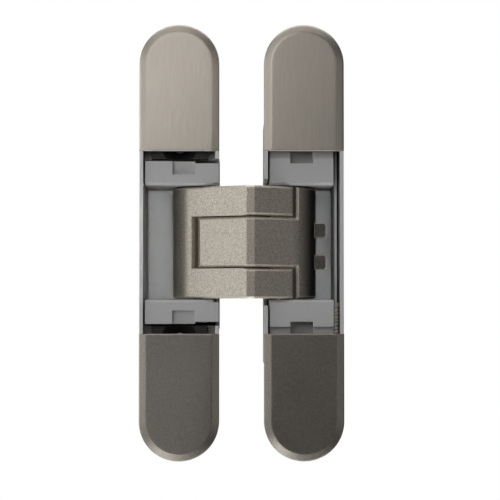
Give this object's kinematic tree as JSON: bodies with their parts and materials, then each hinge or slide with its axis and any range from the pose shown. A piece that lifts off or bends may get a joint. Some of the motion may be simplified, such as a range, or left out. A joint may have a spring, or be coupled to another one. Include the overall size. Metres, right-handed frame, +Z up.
{
  "type": "concealed door hinge",
  "caption": "Concealed door hinge with two recessed leaves, round-ended satin nickel covers and crossing forked arms, shown opened flat.",
  "frame": {"origin": "middle of the whole hinge when it is opened flat", "axes": "+Z up along the leaves, +Y into the door and frame, +X from the frame leaf to the door leaf"},
  "size_m": [0.0562, 0.0316, 0.12],
  "materials": {
    "cover_nickel": "satin nickel plate on zinc die casting, faint brushing along the length",
    "arm_nickel": "satin nickel plate on zinc die casting",
    "housing_zinc": "zinc die casting, nickel plated",
    "carriage_zinc": "zinc die casting, plain grey",
    "plate_steel": "dark zinc-plated sheet steel",
    "pin_steel": "ground steel",
    "screw_steel": "zinc-plated steel",
    "bush_plastic": "smooth dark bearing plastic"
  },
  "bodies": {
    "frame_leaf": {"frame_housing": "housing_zinc", "frame_cover_upper": "cover_nickel", "frame_cover_lower": "cover_nickel", "frame_plate_upper": "plate_steel", "frame_plate_lower": "plate_steel", "frame_carriage": "carriage_zinc", "fork_base_pin": "pin_steel", "carriage_screw_upper": "screw_steel", "carriage_screw_lower": "screw_steel"},
    "fork": {"fork_arm": "arm_nickel", "fork_bush_upper": "bush_plastic", "fork_bush_lower": "bush_plastic", "fork_tip_pin_upper": "pin_steel", "fork_tip_pin_lower": "pin_steel", "middle_pin": "pin_steel"},
    "tongue": {"tongue_arm": "arm_nickel", "tongue_bush_upper": "bush_plastic", "tongue_bush_lower": "bush_plastic", "tongue_tip_pin": "pin_steel"},
    "carriage": {"door_carriage": "carriage_zinc", "tongue_base_pin": "pin_steel"},
    "lift_screw": {"height_screw": "screw_steel"},
    "door_leaf": {"door_housing": "housing_zinc", "door_cover_upper": "cover_nickel", "door_cover_lower": "cover_nickel", "door_plate_upper": "plate_steel", "door_plate_lower": "plate_steel"}
  },
  "joints": [
    {"name": "frame_pivot", "type": "hinge", "parent": "frame_leaf", "child": "fork", "pos_m": [-0.0117, 0.0043, 0], "axis": [0, 0, -1], "range_deg": [0, 66.63]},
    {"name": "middle_pivot", "type": "hinge", "parent": "fork", "child": "tongue", "pos_m": [0.0008, -0.0112, 0], "axis": [0, 0, -1], "range_deg": [0, 51.84]},
    {"name": "door_pivot", "type": "hinge", "parent": "tongue", "child": "carriage", "pos_m": [0.0133, 0.0043, 0], "axis": [0, 0, -1], "range_deg": [0, 61.54]},
    {"name": "height_adjust", "type": "slide", "parent": "carriage", "child": "door_leaf", "axis": [0, 0, 1], "range_m": [-0.0015, 0.0015]},
    {"name": "height_screw_turn", "type": "hinge", "parent": "carriage", "child": "lift_screw", "pos_m": [0.0258, -0.0071, -0.0266], "axis": [0, 0, 1], "range_deg": [-541, 541]}
  ],
  "couplings": [
    {"joint": "middle_pivot", "follows": "frame_pivot", "ratio": 0.77806},
    {"joint": "door_pivot", "follows": "frame_pivot", "ratio": 0.92361},
    {"joint": "height_screw_turn", "follows": "height_adjust", "rad_per_m": 6283.2}
  ]
}
